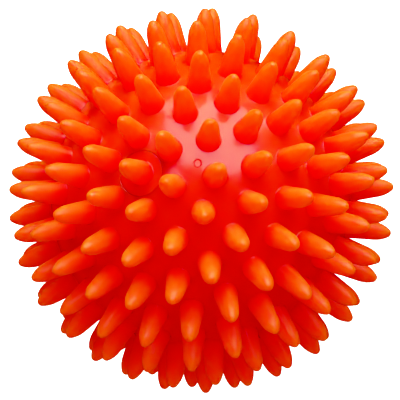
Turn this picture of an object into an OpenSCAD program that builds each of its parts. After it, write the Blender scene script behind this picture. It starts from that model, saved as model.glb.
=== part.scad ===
// Spiky massage ball: a hollow soft PVC skin with rings of moulded spikes around
// one axis, closed at the top pole by a push-in stopper that carries a spike of its own.
// The ball's centre is the origin, and +Z runs out through the stopper.

/* [Ball] */
// Diameter over the tips of the spikes
ball_d = 80; // [76:1:90]
// Diameter of the bare skin between the spikes
skin_d = 62; // [61:0.5:66]
// Thickness of the hollow skin
wall = 2.2; // [1.8:0.1:3]

/* [Spikes] */
// Diameter of a spike where it leaves the skin
root_d = 5; // [4.4:0.1:5]
// Diameter of a spike at its shoulder, where the straight side starts to round in
shoulder_d = 3.76; // [3.4:0.02:4]
// Depth of the shoulder below the tip
shoulder_drop = 3.2; // [3:0.1:3.6]
// Radius of the round tip
tip_r = 1; // [0.8:0.05:1.1]

/* [Rings of spikes] */
// Spikes in each ring of one half, from the pole to the ring beside the equator
ring_count = [1, 6, 12, 18, 21, 24, 26]; // whole numbers, evenly spread round the axis
// Angle of each ring from the pole
ring_angle = [0, 13.9, 28.1, 42.4, 56.9, 71, 83.8]; // 0 to 84 degrees, in rising order
// Turn of each ring about the axis, counted from +X
ring_turn = [0, 32, 22, -0.5, 12, 1.5, 6]; // degrees
// Turn of the lower half, which is the upper half turned over
lower_turn = 31.3; // [0:0.1:360]

/* [Stopper] */
// Diameter of the stopper's disc
disc_d = 9.2; // [8.6:0.1:9.2]
// Height of the flat seat under the disc, below the top of the skin
seat_drop = 1.5; // [1.3:0.1:1.7]
// Diameter of the stem under the disc
stem_top_d = 5.8; // [5:0.1:6.2]
// Diameter of the stem's lower end
stem_end_d = 5; // [4:0.1:5]
// Length of the stem
stem_l = 5; // [4:0.5:8]
// Diameter of the collar that grips the stem, inside the skin
collar_d = 10.4; // [9.6:0.2:12]
// Clearance between the stopper and its hole
fit_gap = 0.05; // [0.02:0.01:0.1]
// Width and depth of the groove round the disc
groove_w = 0.6; // [0.3:0.1:0.6]

/* [Mould mark] */
// Outer diameter of the small plain ring beside the stopper
mark_d = 1.9; // [1.4:0.1:2.4]
// Width of that ring's line
mark_line = 0.3; // [0.2:0.05:0.4]
// Height of that ring above the skin
mark_h = 0.15; // [0.1:0.05:0.3]
// Angle of the ring from the pole
mark_angle = 21.8; // [20:0.1:23]
// Turn of the ring about the axis
mark_turn = -56; // [-60:1:-52]

/* [Hidden] */
$fn = 96;
// Finer facets for the skin's outline where only a thin sliver stands above it
fine = 720;
ball_r = ball_d / 2;
skin_r = skin_d / 2;
disc_r = disc_d / 2;
seat_z = skin_r - seat_drop;
stem_end_z = seat_z - stem_l;
// A spike's straight side leans in towards the tip by this angle
shoulder_z = ball_r - shoulder_drop;
side_angle = atan((root_d - shoulder_d) / 2 / (shoulder_z - skin_r));
// The arc from side to tip stands this much proud of the side and inside the tip,
// so that the three outlines cross instead of grazing each other
blend = 0.02;
tip_z = ball_r - tip_r;
touch_x = shoulder_d / 2 + blend * cos(side_angle);
touch_z = shoulder_z + blend * sin(side_angle);
touch_r = tip_r - blend;
touch_drop = tip_z - touch_z;
// The arc touches the side and the tip, so its radius follows from them
arc_r = (pow(touch_drop, 2) + pow(touch_x, 2) - pow(touch_r, 2)) / 2
    / (touch_x * cos(side_angle) - touch_drop * sin(side_angle) - touch_r);
arc_x = touch_x - arc_r * cos(side_angle);
arc_z = touch_z - arc_r * sin(side_angle);
// Heights between which the arc is used
arc_low = shoulder_z - 1;
arc_high = tip_z + tip_r * (tip_z - arc_z) / (arc_r - touch_r);
// How far a spike's outline runs below the skin before it is trimmed to it
root_depth = 1;
// More than the whole ball, for trimming outlines
beyond = 2 * ball_d;
pvc = "orangered";

// Half outline of a stretch between two heights, out to any width
module band(low, high) {
    translate([0, low]) square([beyond, high - low]);
}

// Half outline of a spike along the axis, with its foot still buried in the skin
module spike_blank() {
    root_z = skin_r - root_depth;
    root_x = root_d / 2 + root_depth * tan(side_angle);
    polygon([[0, root_z], [root_x, root_z], [shoulder_d / 2, shoulder_z], [0, shoulder_z]]);
    intersection() {
        translate([arc_x, arc_z]) circle(arc_r);
        band(arc_low, arc_high);
    }
    intersection() {
        translate([0, tip_z]) circle(tip_r);
        band(0, beyond);
    }
}

// The same outline, trimmed to stand on the skin
module spike_outline() {
    difference() {
        spike_blank();
        circle(skin_r);
    }
}

module spike() {
    rotate_extrude() spike_outline();
}

// Half outline of the stopper's stem, or of its hole when a gap is given
module stem_outline(gap = 0) {
    top = [stem_top_d / 2 + gap, seat_z];
    end = [stem_end_d / 2 + gap, stem_end_z];
    polygon([[0, stem_end_z - gap], [end.x, stem_end_z - gap], end, top, [0, seat_z]]);
}

// The V-shaped groove that runs round the disc, cut half from it and half from the skin
module groove_outline() {
    seam_r = disc_r + fit_gap / 2;
    translate([seam_r, sqrt(pow(skin_r, 2) - pow(seam_r, 2))])
        rotate(45) square(groove_w / sqrt(2), center = true);
}

// Half outline of the hole that the stopper fills: a seat for the disc and a taper for the stem
module hole_outline() {
    translate([0, seat_z]) square([disc_r + fit_gap, ball_r]);
    stem_outline(fit_gap);
    groove_outline();
}

// Hollow skin with the stopper's hole and the collar inside it
module skin() {
    color(pvc) rotate_extrude() difference() {
        union() {
            difference() {
                circle(skin_r);
                circle(skin_r - wall);
            }
            translate([0, stem_end_z]) square([collar_d / 2, seat_z - stem_end_z]);
        }
        translate([-beyond, -beyond / 2]) square([beyond, beyond]);
        hole_outline();
    }
}

// Stopper: disc, tapered stem and spike in one piece
module stopper() {
    color(pvc) rotate_extrude() {
        difference() {
            intersection() {
                circle(skin_r);
                translate([0, seat_z]) square([disc_r, ball_r]);
            }
            groove_outline();
        }
        stem_outline();
        spike_blank();
    }
}

// Small plain ring moulded on the skin
module mould_mark() {
    color(pvc) rotate([0, mark_angle, mark_turn]) rotate_extrude() difference() {
        translate([mark_d / 2 - mark_line, 0]) square([mark_line, skin_r + mark_h]);
        circle(skin_r, $fn = fine);
    }
}

// One ring of spikes of the upper half
module upper_ring(ring) {
    step = 360 / ring_count[ring];
    color(pvc) for (i = [0 : ring_count[ring] - 1])
        rotate([0, ring_angle[ring], ring_turn[ring] + i * step]) spike();
}

// The same ring of the lower half
module lower_ring(ring) {
    rotate([180, 0, lower_turn]) upper_ring(ring);
}

skin();
mould_mark();
stopper();
upper_ring(1);  // spikes_ring_01
upper_ring(2);  // spikes_ring_02
upper_ring(3);  // spikes_ring_03
upper_ring(4);  // spikes_ring_04
upper_ring(5);  // spikes_ring_05
upper_ring(6);  // spikes_ring_06
lower_ring(6);  // spikes_ring_07
lower_ring(5);  // spikes_ring_08
lower_ring(4);  // spikes_ring_09
lower_ring(3);  // spikes_ring_10
lower_ring(2);  // spikes_ring_11
lower_ring(1);  // spikes_ring_12
lower_ring(0);  // spike_far_pole
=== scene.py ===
"""Looks of the spiky massage ball: one soft PVC moulding and the stopper that plugs it."""

import math

import bpy
import numpy as np
from mathutils import Matrix, Vector
from mathutils.geometry import delaunay_2d_cdt


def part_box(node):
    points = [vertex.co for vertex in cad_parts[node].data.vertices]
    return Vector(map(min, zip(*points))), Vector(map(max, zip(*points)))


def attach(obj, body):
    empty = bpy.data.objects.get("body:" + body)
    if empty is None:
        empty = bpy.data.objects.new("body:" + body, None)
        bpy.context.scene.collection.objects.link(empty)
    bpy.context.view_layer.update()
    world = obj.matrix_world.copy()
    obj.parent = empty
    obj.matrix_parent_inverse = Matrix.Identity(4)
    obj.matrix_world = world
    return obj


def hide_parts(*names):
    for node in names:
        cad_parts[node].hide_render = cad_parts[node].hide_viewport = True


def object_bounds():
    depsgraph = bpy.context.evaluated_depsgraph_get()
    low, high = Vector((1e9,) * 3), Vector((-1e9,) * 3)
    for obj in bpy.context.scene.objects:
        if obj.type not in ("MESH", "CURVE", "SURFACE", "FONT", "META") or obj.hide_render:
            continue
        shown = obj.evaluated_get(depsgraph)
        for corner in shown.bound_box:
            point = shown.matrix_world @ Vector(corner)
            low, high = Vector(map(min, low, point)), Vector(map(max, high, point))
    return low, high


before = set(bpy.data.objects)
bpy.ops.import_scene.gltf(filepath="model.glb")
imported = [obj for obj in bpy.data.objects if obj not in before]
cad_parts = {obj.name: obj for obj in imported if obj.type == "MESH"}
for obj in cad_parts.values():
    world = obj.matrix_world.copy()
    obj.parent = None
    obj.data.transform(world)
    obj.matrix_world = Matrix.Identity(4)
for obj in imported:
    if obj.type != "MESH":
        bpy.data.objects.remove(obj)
cad_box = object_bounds()

MM = 0.001

# ------------------------------------------------------------ measures taken from the frame


def points_of(node):
    """Vertices of a CAD node, in metres."""
    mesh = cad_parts[node].data
    flat = np.empty(3 * len(mesh.vertices), np.float32)
    mesh.vertices.foreach_get("co", flat)
    return flat.reshape(-1, 3).astype(float)


def reach(node):
    """Distance of a CAD node's farthest point from the ball's centre."""
    return np.linalg.norm(points_of(node), axis=1).max()


def tip_directions(node):
    """Unit vectors from the ball's centre through the tips of a node's spikes."""
    points = points_of(node)
    radius = np.linalg.norm(points, axis=1)
    near_tip = 0.02 * MM
    same_tip = math.cos(math.radians(3))
    found = []
    for i in np.argsort(-radius, kind="stable"):
        if radius[i] < BALL_R - near_tip:
            break
        direction = points[i] / radius[i]
        if all(direction @ other < same_tip for other in found):
            found.append(direction)
    return sorted(found, key=lambda d: math.atan2(d[1], d[0]))


SPIKE_NODES = sorted(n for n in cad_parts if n.startswith("spike"))
BALL_R = reach("spike_far_pole")
SKIN_R = reach("skin")
STEM_END_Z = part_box("stopper")[0].z
MARK = (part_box("mould_mark")[0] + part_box("mould_mark")[1]) / 2

# Sizes that the frame's boxes don't give, the same as in the CAD
ROOT_R = 2.5 * MM
SHOULDER_R = 1.88 * MM
SHOULDER_Z = BALL_R - 3.2 * MM
TIP_R = 1.0 * MM
WALL = 2.2 * MM
DISC_R = 4.6 * MM
SEAT_Z = SKIN_R - 1.5 * MM
STEM_TOP_R = 2.9 * MM
STEM_END_R = 2.5 * MM
COLLAR_R = 5.2 * MM
FIT_GAP = 0.05 * MM
MARK_R = 0.83 * MM

# Radii of the roundings. The spikes next to the hole's rim have no room for a full fillet
FOOT_FILLET = 0.2 * MM
TIGHT_FILLET = 0.12 * MM
RIM_ROUND = 0.13 * MM
SEAT_ROUND = 0.15 * MM
EDGE_ROUND = 0.2 * MM
DISC_ROUND = 0.1 * MM
COLLAR_ROUND = 0.5 * MM
STEM_END_ROUND = 0.5 * MM
MARK_ROUND = 0.1 * MM

# How far the flat top of the stopper's disc lies below the skin round it
DISC_DROP = 0.05 * MM

# How finely the shapes are cut: pieces along an outline, points round an axis, and the
# distance between the points of the skin
ROUND_STEPS = 4
FLAT_STEPS = 3
BEAD_STEPS = 6
INSIDE_STEPS = 48
SPIKE_SEGMENTS = 24
WIDE_SEGMENTS = 72
SKIN_POINT_STEP = 1.0 * MM

# ------------------------------------------------------------ outlines of (distance from axis, height)


def arc(centre, radius, start, end, steps):
    """Points along an arc from angle start to angle end, both included."""
    angles = np.linspace(start, end, steps + 1)
    return np.asarray(centre) + radius * np.column_stack([np.cos(angles), np.sin(angles)])


def tangent_circle(point, normal, radius, globe_r):
    """Centre of a circle that touches a line from its normal's side and a globe from outside."""
    line = point + radius * normal
    along = np.array([-normal[1], normal[0]])
    b = line @ along
    c = line @ line - (globe_r + radius) ** 2
    roots = [-b - math.sqrt(b * b - c), -b + math.sqrt(b * b - c)]
    return max((line + r * along for r in roots), key=lambda p: p[1])


def spike_outline(foot_fillet):
    """From the foot on the skin, over its fillet and up the side, to the tip's pole."""
    lean = math.atan((ROOT_R - SHOULDER_R) / (SHOULDER_Z - SKIN_R))
    outward = np.array([math.cos(lean), math.sin(lean)])
    shoulder = np.array([SHOULDER_R, SHOULDER_Z])
    fillet = tangent_circle(shoulder, outward, foot_fillet, SKIN_R)
    foot = math.atan2(fillet[1], fillet[0]) - math.pi
    foot_arc = arc(fillet, foot_fillet, foot, lean - math.pi, ROUND_STEPS)
    tip = np.array([0, BALL_R - TIP_R])
    drop = tip[1] - SHOULDER_Z
    bend = (drop ** 2 + SHOULDER_R ** 2 - TIP_R ** 2) / 2
    bend /= SHOULDER_R * outward[0] - drop * outward[1] - TIP_R
    centre = shoulder - bend * outward
    meet = math.atan2(tip[1] - centre[1], tip[0] - centre[0])
    shoulder_arc = arc(centre, bend, lean, meet, ROUND_STEPS)
    tip_arc = arc(tip, TIP_R, meet, math.pi / 2, ROUND_STEPS)
    side = np.linspace(foot_arc[-1], shoulder_arc[0], FLAT_STEPS + 1)[1:-1]
    return np.vstack([foot_arc, side, shoulder_arc, tip_arc[1:]])


def rounded(corners, radii):
    """A line through corners, each one but the ends rounded by its radius."""
    corners = [np.asarray(c, float) for c in corners]
    points = [corners[0]]
    for before, corner, after, radius in zip(corners, corners[1:], corners[2:], radii):
        back = (before - corner) / np.linalg.norm(before - corner)
        on = (after - corner) / np.linalg.norm(after - corner)
        half = math.acos(np.clip(back @ on, -1, 1)) / 2
        centre = corner + (back + on) / np.linalg.norm(back + on) * radius / math.sin(half)
        first = corner + back * radius / math.tan(half) - centre
        last = corner + on * radius / math.tan(half) - centre
        start = math.atan2(first[1], first[0])
        sweep = (math.atan2(last[1], last[0]) - start + math.pi) % (2 * math.pi) - math.pi
        points.extend(arc(centre, radius, start, start + sweep, ROUND_STEPS))
    points.append(corners[-1])
    return np.array(points)


def on_skin(x):
    """Point of the skin's outline at a distance from the axis."""
    return np.array([x, math.sqrt(SKIN_R ** 2 - x ** 2)])


def hole_outline():
    """From the skin over the hole's rim, down the seat, taper and collar, and round the inside."""
    inner_r = SKIN_R - WALL
    wall_r = DISC_R + FIT_GAP
    # The start is on the skin just outside the rounding of the rim
    edge_r = wall_r + 1.35 * RIM_ROUND
    collar_top = np.array([COLLAR_R, math.sqrt(inner_r ** 2 - COLLAR_R ** 2)])
    throat = rounded(
        [
            on_skin(edge_r),
            on_skin(wall_r),
            [wall_r, SEAT_Z],
            [STEM_TOP_R + FIT_GAP, SEAT_Z],
            [STEM_END_R + FIT_GAP, STEM_END_Z],
            [COLLAR_R, STEM_END_Z],
            collar_top,
        ],
        [RIM_ROUND, SEAT_ROUND, EDGE_ROUND, EDGE_ROUND, COLLAR_ROUND],
    )
    start = math.atan2(collar_top[1], collar_top[0])
    inside = arc([0, 0], inner_r, start, -math.pi / 2, INSIDE_STEPS)
    inside[-1, 0] = 0
    return np.vstack([throat, inside[1:]])


def mark_outline():
    """A thin raised ring on the skin, from outside in, with the skin again in its middle."""
    # The start is on the skin just outside the bead
    edge_r = MARK_R + MARK_ROUND + 0.06 * MM
    bead = [
        on_skin(MARK_R + MARK_ROUND * math.cos(a)) + [0, MARK_ROUND * math.sin(a)]
        for a in np.linspace(0, math.pi, BEAD_STEPS + 1)
    ]
    middle = [on_skin(x) for x in np.linspace(MARK_R - MARK_ROUND, 0, FLAT_STEPS + 1)[1:]]
    return np.array([on_skin(edge_r)] + bead + middle)


def stopper_outline():
    """From the stem's end up over the flat disc to the tip of its spike."""
    top = on_skin(DISC_R)[1] - DISC_DROP
    spike = spike_outline(FOOT_FILLET)
    foot_top = SHOULDER_Z - 3 * MM
    side = spike[spike[:, 1] > foot_top]
    slope = (ROOT_R - SHOULDER_R) / (SHOULDER_Z - SKIN_R)
    foot = [SHOULDER_R + slope * (SHOULDER_Z - top), top]
    disc = rounded(
        [
            [0, STEM_END_Z],
            [STEM_END_R, STEM_END_Z],
            [STEM_TOP_R, SEAT_Z],
            [DISC_R, SEAT_Z],
            [DISC_R, top],
            foot,
            side[0],
        ],
        [STEM_END_ROUND, SEAT_ROUND, EDGE_ROUND, DISC_ROUND, FOOT_FILLET],
    )
    return np.vstack([disc, side[1:]])


# ------------------------------------------------------------ meshes


def across(axis):
    """Two unit vectors across an axis, right-handed with it."""
    guide = np.array([1.0, 0, 0]) if abs(axis[2]) > 0.9 else np.array([0, 0, 1.0])
    u = np.cross(guide, axis)
    u /= np.linalg.norm(u)
    return u, np.cross(axis, u)


def circle_round(axis, x, z, segments):
    """Points of a circle of radius x round an axis, at height z along it."""
    u, v = across(axis)
    turn = np.linspace(0, 2 * math.pi, segments, endpoint=False)[:, None]
    return x * (np.cos(turn) * u + np.sin(turn) * v) + z * axis


def revolved(axis, outline, segments, first, count):
    """Points and faces of an outline turned round an axis, its end on the axis.

    first holds the numbers of its first ring's points, which exist already, and count is
    the number of points so far. Faces look to the right of the way along the outline.
    """
    points = []
    faces = []
    ring = list(first)
    for x, z in outline[1:-1]:
        new = range(count, count + segments)
        points.extend(circle_round(axis, x, z, segments))
        for i in range(segments):
            j = (i + 1) % segments
            faces.append((ring[i], ring[j], new[j], new[i]))
        ring = new
        count += segments
    points.append(outline[-1][1] * axis)
    faces.extend((ring[i], ring[(i + 1) % segments], count) for i in range(segments))
    return points, faces


def spiral(count):
    """Directions spread evenly over a globe along a golden-angle spiral."""
    i = np.arange(count)
    z = 1 - (2 * i + 1) / count
    turn = i * math.pi * (3 - math.sqrt(5))
    r = np.sqrt(1 - z * z)
    return np.column_stack([r * np.cos(turn), r * np.sin(turn), z])


def globe_faces(directions, loops):
    """Triangles between directions on a globe that has a hole round +Z.

    The loops are lists of point numbers round a hole each, and stay open. The first is
    the one round +Z. A flat map from +Z keeps circles round, so the flat triangles are
    the globe's own.
    """
    flat = directions[:, :2] / (1 - directions[:, 2:])
    owner = {i: k for k, loop in enumerate(loops) for i in loop}
    edges = [(a, b) for loop in loops for a, b in zip(loop, loop[1:] + loop[:1])]
    whole_hull = 0
    same_place = 1e-9
    _, _, faces, sources, _, _ = delaunay_2d_cdt(
        [Vector(p) for p in flat], edges, [], whole_hull, same_place
    )
    found = []
    for face in faces:
        a, b, c = (sources[i][0] for i in face)
        if a in owner and owner[a] == owner.get(b) == owner.get(c):
            continue
        up = np.cross(directions[b] - directions[a], directions[c] - directions[a])
        found.append((a, b, c) if up @ directions[a] > 0 else (a, c, b))
    return found


def make_object(name, points, faces, material):
    """A smooth-shaded mesh object."""
    mesh = bpy.data.meshes.new(name)
    mesh.from_pydata([tuple(p) for p in points], [], faces)
    mesh.validate()
    mesh.shade_smooth()
    mesh.materials.append(material)
    piece = bpy.data.objects.new(name, mesh)
    bpy.context.scene.collection.objects.link(piece)
    return piece


UP = np.array([0, 0, 1.0])


def moulding(material):
    """The whole moulded ball as one closed skin: spikes, hole, collar, mark and inside."""
    features = [(UP, hole_outline(), WIDE_SEGMENTS)]
    features.append((np.array(MARK.normalized()), mark_outline(), SPIKE_SEGMENTS))
    for node in SPIKE_NODES:
        fillet = TIGHT_FILLET if node == "spikes_ring_01" else FOOT_FILLET
        spike = spike_outline(fillet)
        features.extend((axis, spike, SPIKE_SEGMENTS) for axis in tip_directions(node))

    count = int(4 * math.pi * SKIN_R ** 2 / SKIN_POINT_STEP ** 2)
    filler = spiral(count)
    points = []
    loops = []
    for axis, outline, segments in features:
        x, z = outline[0]
        loops.append(list(range(len(points), len(points) + segments)))
        points.extend(circle_round(axis, x, z, segments))
        # The skin's other points keep about half a step off each feature's edge
        margin = math.atan2(x, z) + 0.6 * SKIN_POINT_STEP / SKIN_R
        filler = filler[filler @ axis < math.cos(margin)]
    points = np.vstack([points, filler * SKIN_R])

    faces = globe_faces(points / np.linalg.norm(points, axis=1)[:, None], loops)
    points = list(points)
    for (axis, outline, segments), loop in zip(features, loops):
        more_points, more_faces = revolved(axis, outline, segments, loop, len(points))
        points.extend(more_points)
        faces.extend(more_faces)
    return make_object("ball_moulding", points, faces, material)


def stopper(material):
    """The stopper: a tapered stem under a disc with a spike on it."""
    outline = stopper_outline()
    points = [outline[0][1] * UP]
    points.extend(circle_round(UP, *outline[1], WIDE_SEGMENTS))
    ring = list(range(1, WIDE_SEGMENTS + 1))
    more_points, faces = revolved(UP, outline[1:], WIDE_SEGMENTS, ring, len(points))
    points.extend(more_points)
    faces.extend((0, b, a) for a, b in zip(ring, ring[1:] + ring[:1]))
    return make_object("stopper_plug", points, faces, material)


# ------------------------------------------------------------ material


class Nodes:
    """A material's node tree, with short calls to add nodes and links."""

    def __init__(self, name):
        self.material = bpy.data.materials.new(name)
        self.material.use_nodes = True
        self.tree = self.material.node_tree
        self.shader = self.tree.nodes["Principled BSDF"]

    def add(self, kind, values=None, **settings):
        """A node with its settings, and its inputs set to values or linked to sockets."""
        node = self.tree.nodes.new(kind)
        for key, value in settings.items():
            setattr(node, key, value)
        for key, value in (values or {}).items():
            self.put(node.inputs[key], value)
        return node

    def put(self, socket, value):
        """Link an input to another node's output, or set it."""
        if isinstance(value, bpy.types.NodeSocket):
            self.tree.links.new(value, socket)
        else:
            socket.default_value = value

    def ramp(self, factor, *stops):
        """A colour ramp along a factor, through stops of position and colour."""
        node = self.add("ShaderNodeValToRGB", {"Fac": factor})
        elements = node.color_ramp.elements
        while len(elements) < len(stops):
            elements.new(1)
        for element, (position, colour) in zip(elements, stops):
            element.position = position
            element.color = colour
        return node.outputs["Color"]


# Lit and shaded copies of the PVC's one colour. The colour runs with height: painted shade makes the
# skin between the spikes deeper red, and painted light makes the tips orange.
LIT_TIP_COLOUR = (0.90, 0.203, 0.010, 1)
SHADED_SKIN_COLOUR = (0.97, 0.123, 0.005, 1)
SKIN_COAT = 1.0
SIDE_COAT = 0.2
TIP_COAT = 0.5
CLOUDINESS = 0.18


def grey(value):
    """A neutral colour."""
    return (value, value, value, 1)


def pvc(name, scatter):
    """Glossy translucent PVC with painted shade: orange on the spikes and deeper red on the skin
    between them.

    Faint clouds shift the colour and the roughness, and a fine orange peel dents the surface.
    Light spreads under it over about the length scatter, red light the farthest.
    """
    nodes = Nodes(name)
    place = nodes.add("ShaderNodeTexCoord").outputs["Object"]
    height = nodes.add("ShaderNodeVectorMath", {0: place}, operation="LENGTH")
    cloud = nodes.add("ShaderNodeTexNoise", {"Vector": place, "Scale": 220.0, "Detail": 3.0})
    rise = nodes.add(
        "ShaderNodeMapRange",
        {"Value": height.outputs["Value"], "From Min": SKIN_R, "From Max": BALL_R},
    )
    blotch = nodes.add(
        "ShaderNodeMath",
        {0: cloud.outputs["Fac"], 1: CLOUDINESS, 2: -CLOUDINESS / 2},
        operation="MULTIPLY_ADD",
    )
    mix = nodes.add(
        "ShaderNodeMath", {0: rise.outputs["Result"], 1: blotch.outputs[0]}, use_clamp=True
    )
    # Painted shade: deeper red low down between the spikes, painted light orange up the spikes, with
    # faint clouds in the colour
    colour = nodes.ramp(mix.outputs[0], (0.02, SHADED_SKIN_COLOUR), (0.4, LIT_TIP_COLOUR))
    gloss = nodes.ramp(
        rise.outputs["Result"],
        (0.01, grey(SKIN_COAT)),
        (0.09, grey(SIDE_COAT)),
        (0.72, grey(SIDE_COAT)),
        (0.95, grey(TIP_COAT)),
    )
    rough = nodes.add(
        "ShaderNodeMapRange",
        {"Value": cloud.outputs["Fac"], "To Min": 0.42, "To Max": 0.58},
    )
    peel = nodes.add("ShaderNodeTexNoise", {"Vector": place, "Scale": 900.0, "Detail": 2.0})
    bump = nodes.add(
        "ShaderNodeBump",
        {"Height": peel.outputs["Fac"], "Strength": 0.08, "Distance": 0.05 * MM},
    )
    shader = nodes.shader
    nodes.put(shader.inputs["Base Color"], colour)
    nodes.put(shader.inputs["Normal"], bump.outputs["Normal"])
    nodes.put(shader.inputs["Coat Weight"], gloss)
    nodes.put(shader.inputs["Roughness"], rough.outputs["Result"])
    shader.inputs["Coat Roughness"].default_value = 0.16
    shader.inputs["IOR"].default_value = 1.5
    shader.inputs["Subsurface Weight"].default_value = 1.0
    shader.inputs["Subsurface Radius"].default_value = (1.0, 0.1, 0.05)
    shader.inputs["Subsurface Scale"].default_value = scatter
    shader.inputs["Specular IOR Level"].default_value = 0.1
    return nodes.material


def paper():
    """Plain white paper with a faint mottle, self-lit so that the shadow on it stays pale."""
    nodes = Nodes("floor_paper")
    mottle = nodes.add("ShaderNodeTexNoise", {"Scale": 60.0})
    shader = nodes.shader
    white = nodes.ramp(mottle.outputs["Fac"], (0, grey(0.86)), (1, grey(0.90)))
    nodes.put(shader.inputs["Base Color"], white)
    shader.inputs["Roughness"].default_value = 0.9
    shader.inputs["Emission Color"].default_value = (1, 1, 1, 1)
    shader.inputs["Emission Strength"].default_value = 1.5
    return nodes.material


# ------------------------------------------------------------ camera, lights and floor

VIEW_ELEVATION = math.radians(64.9)
VIEW_ROLL = math.radians(65.9)
VIEW_DISTANCE = 0.7
LENS = 304.0
FRAMING_SHIFT = -0.002
SOFTBOX_DISTANCE = 0.5
SOFTBOX_WIDTH = 0.6
SOFTBOX_HEIGHT = 0.55

# The surround's brightness behind the ball and before it, and the cosine of the angle off
# the camera's axis at which it starts to rise
BACK_GLOW = 0.2
FRONT_GLOW = 1.15
GLOW_START = -0.5

# The amount of red light that shows as full red
RED_WHITE = 1.6

LEVEL_RIGHT = Vector((1, 0, 0))
LEVEL_UP = Vector((0, math.sin(VIEW_ELEVATION), math.cos(VIEW_ELEVATION)))
TO_CAMERA = Vector((0, -math.cos(VIEW_ELEVATION), math.sin(VIEW_ELEVATION)))
VIEW_RIGHT = math.cos(VIEW_ROLL) * LEVEL_RIGHT - math.sin(VIEW_ROLL) * LEVEL_UP
VIEW_UP = math.cos(VIEW_ROLL) * LEVEL_UP + math.sin(VIEW_ROLL) * LEVEL_RIGHT


def facing(place, right, up, back):
    """A place and turn with local X, Y and Z along right, up and back."""
    turn = Matrix((right, up, back)).transposed().to_4x4()
    return Matrix.Translation(place) @ turn


def add_camera():
    """The main view's camera: far off, looking down at the ball's centre, and rolled."""
    data = bpy.data.cameras.new("camera")
    data.lens = LENS
    data.shift_x = FRAMING_SHIFT
    camera = bpy.data.objects.new("camera", data)
    camera.matrix_world = facing(VIEW_DISTANCE * TO_CAMERA, VIEW_RIGHT, VIEW_UP, TO_CAMERA)
    bpy.context.scene.collection.objects.link(camera)
    bpy.context.scene.camera = camera


def add_softbox(name, rise, swing, radiance, mirrors):
    """A rectangular light that faces the ball, rise degrees off the camera's axis.

    It lies towards the top of the view, or swing degrees to the right of that. One that
    mirrors is seen in the ball's gloss alone, and one that doesn't lights it.
    """
    rise = math.radians(rise)
    swing = math.radians(swing)
    side = math.sin(swing) * VIEW_RIGHT + math.cos(swing) * VIEW_UP
    back = math.sin(rise) * side + math.cos(rise) * TO_CAMERA
    up = math.cos(rise) * side - math.sin(rise) * TO_CAMERA
    data = bpy.data.lights.new(name, "AREA")
    data.shape = "RECTANGLE"
    data.size = SOFTBOX_WIDTH
    data.size_y = SOFTBOX_HEIGHT
    data.energy = radiance * SOFTBOX_WIDTH * SOFTBOX_HEIGHT * math.pi
    light = bpy.data.objects.new(name, data)
    light.matrix_world = facing(SOFTBOX_DISTANCE * back, up.cross(back), up, back)
    light.visible_glossy = mirrors
    light.visible_diffuse = not mirrors
    light.visible_camera = False
    bpy.context.scene.collection.objects.link(light)


def add_floor():
    """The pale floor under the ball, which curves up into a wall all round.

    It lights nothing, casts no shadow and isn't mirrored in the ball.
    """
    wall_r = 3.0
    wall_h = 3.0
    bend = 0.6
    z = cad_box[0][2]
    curve = arc([wall_r - bend, z + bend], bend, 0, -math.pi / 2, steps=12)
    outline = np.vstack([[wall_r, z + wall_h], curve, [0, z]])
    points = list(circle_round(UP, *outline[0], WIDE_SEGMENTS))
    ring = range(WIDE_SEGMENTS)
    more_points, faces = revolved(UP, outline, WIDE_SEGMENTS, ring, len(points))
    floor = make_object("floor", points + more_points, faces, paper())
    floor.visible_diffuse = False
    floor.visible_glossy = False
    floor.visible_shadow = False


def add_world():
    """A pale surround, brighter before the ball than behind it, which doesn't mirror in it."""
    world = bpy.data.worlds.new("surround")
    world.use_nodes = True
    tree = world.node_tree
    toward = tree.nodes.new("ShaderNodeVectorMath")
    toward.operation = "DOT_PRODUCT"
    toward.inputs[1].default_value = TO_CAMERA
    glow = tree.nodes.new("ShaderNodeMapRange")
    glow.inputs["From Min"].default_value = GLOW_START
    glow.inputs["To Min"].default_value = BACK_GLOW
    glow.inputs["To Max"].default_value = FRONT_GLOW
    direction = tree.nodes.new("ShaderNodeTexCoord").outputs["Generated"]
    background = tree.nodes["Background"]
    background.inputs["Color"].default_value = (0.95, 0.95, 0.95, 1)
    tree.links.new(direction, toward.inputs[0])
    tree.links.new(toward.outputs["Value"], glow.inputs["Value"])
    tree.links.new(glow.outputs["Result"], background.inputs["Strength"])
    bpy.context.scene.world = world
    world.cycles_visibility.glossy = False


def soft_toe(curve, start, softness):
    """Bend a film curve so that it leaves black gently round a start and ends in white."""

    def lift(x):
        return softness * math.log1p(math.exp((x - start) / softness))

    for x in (0.02, 0.04, 0.06, 0.08, 0.1, 0.12, 0.15, 0.2, 0.3, 0.5):
        curve.points.new(x, (lift(x) - lift(0)) / (lift(1) - lift(0)))


def set_film():
    """A film curve: red rolls off softly before white, and faint green and blue sink to black."""
    view = bpy.context.scene.view_settings
    view.view_transform = "Standard"
    view.use_curve_mapping = True
    film = view.curve_mapping
    film.black_level = (0.0, 0.0, 0.012)
    film.white_level = (RED_WHITE, 1.0, 1.0)
    red = film.curves[0]
    green = film.curves[1]
    for linear, shown in ((0.5, 0.56), (0.8, 0.80), (1.1, 0.94)):
        red.points.new(linear / RED_WHITE, shown)
    soft_toe(green, start=0.11, softness=0.012)
    film.update()


# ------------------------------------------------------------ scene

add_camera()
add_floor()
add_world()
add_softbox("gloss_softbox", rise=53, swing=9, radiance=4.4, mirrors=True)
add_softbox("key_softbox", rise=63, swing=4, radiance=3.65, mirrors=False)
set_film()

ball_piece = moulding(pvc("soft_pvc", scatter=6 * MM))
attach(ball_piece, "ball")
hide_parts("skin", "mould_mark", *SPIKE_NODES)

plug_piece = stopper(pvc("stopper_pvc", scatter=2.5 * MM))
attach(plug_piece, "plug")
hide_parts("stopper")
